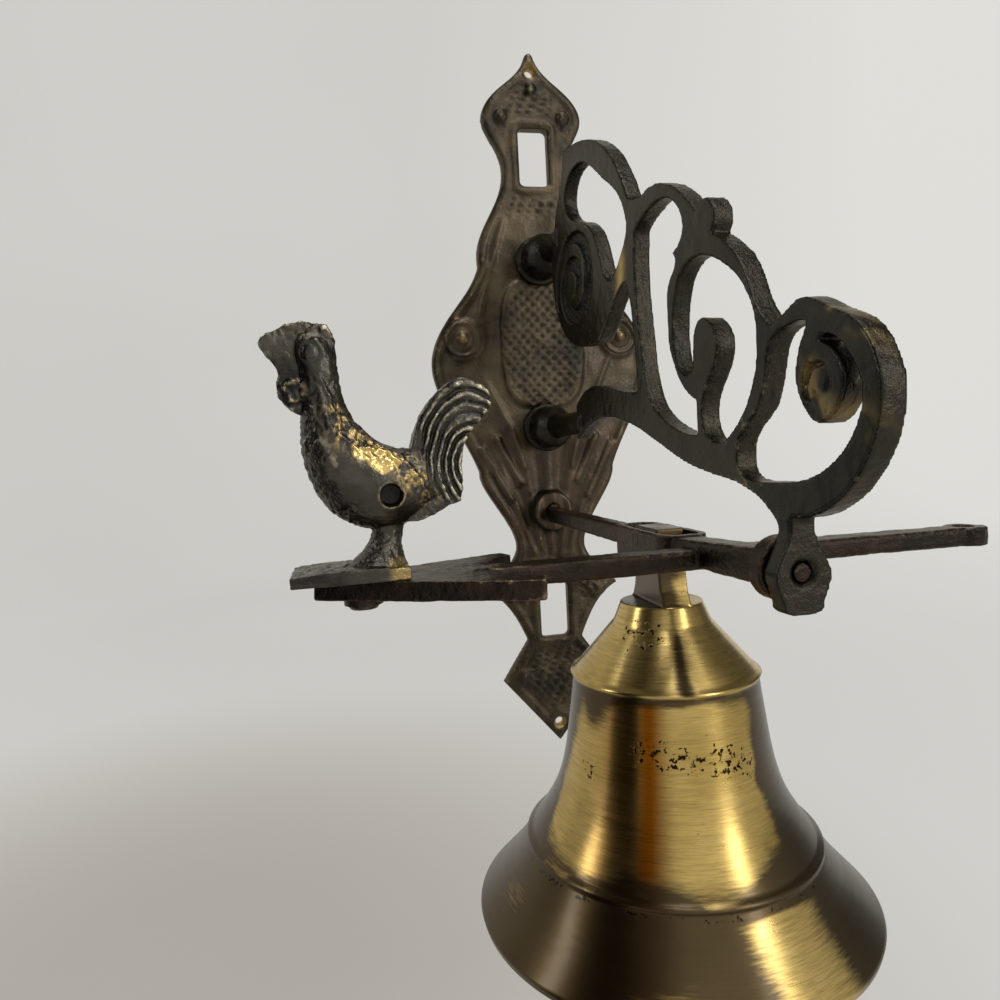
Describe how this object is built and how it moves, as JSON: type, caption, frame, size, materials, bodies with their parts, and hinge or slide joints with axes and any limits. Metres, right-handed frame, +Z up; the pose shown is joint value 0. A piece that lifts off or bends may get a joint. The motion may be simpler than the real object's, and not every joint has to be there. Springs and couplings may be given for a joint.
{
  "type": "wall bell",
  "caption": "Cast brass wall bell: ornamental plate, openwork scroll bracket, rocking arrow lever with a rooster on it, and a flared bell with a clapper.",
  "frame": {"origin": "on the wall plane (the plate's back face), where the rocking shaft's axis meets it", "axes": "+Z up the plate, -Y out of the wall along the rocking shaft, +X towards the chain's end of the arrow lever"},
  "size_m": [0.1547, 0.1784, 0.25],
  "materials": {
    "dark_bronze": "antiqued, rubbed",
    "bell_brass": "brushed, tarnished",
    "clapper_brass": "satin",
    "screw_steel": "zinc plated"
  },
  "bodies": {
    "wall_bracket": {"wall_plate": "dark_bronze", "scroll_bracket": "dark_bronze", "upper_bracket_screw": "screw_steel", "lower_bracket_screw": "screw_steel"},
    "rocker": {"rocker": "dark_bronze", "rooster": "dark_bronze", "rooster_washer": "dark_bronze", "bell_pin": "dark_bronze"},
    "bell": {"bell": "bell_brass", "clapper_staple": "clapper_brass"},
    "clapper": {"clapper_rod": "clapper_brass", "clapper_ball": "clapper_brass"}
  },
  "joints": [
    {"name": "rocker_swing", "type": "hinge", "parent": "wall_bracket", "child": "rocker", "pos_m": [0, -0.1, 0], "axis": [0, 1, 0], "range_deg": [-25, 25]},
    {"name": "bell_swing", "type": "hinge", "parent": "rocker", "child": "bell", "pos_m": [0, -0.099, 0], "axis": [1, 0, 0], "range_deg": [-25, 25]},
    {"name": "clapper_swing", "type": "hinge", "parent": "bell", "child": "clapper", "pos_m": [0, -0.099, -0.0303], "axis": [0, 1, 0], "range_deg": [-25, 25]}
  ]
}
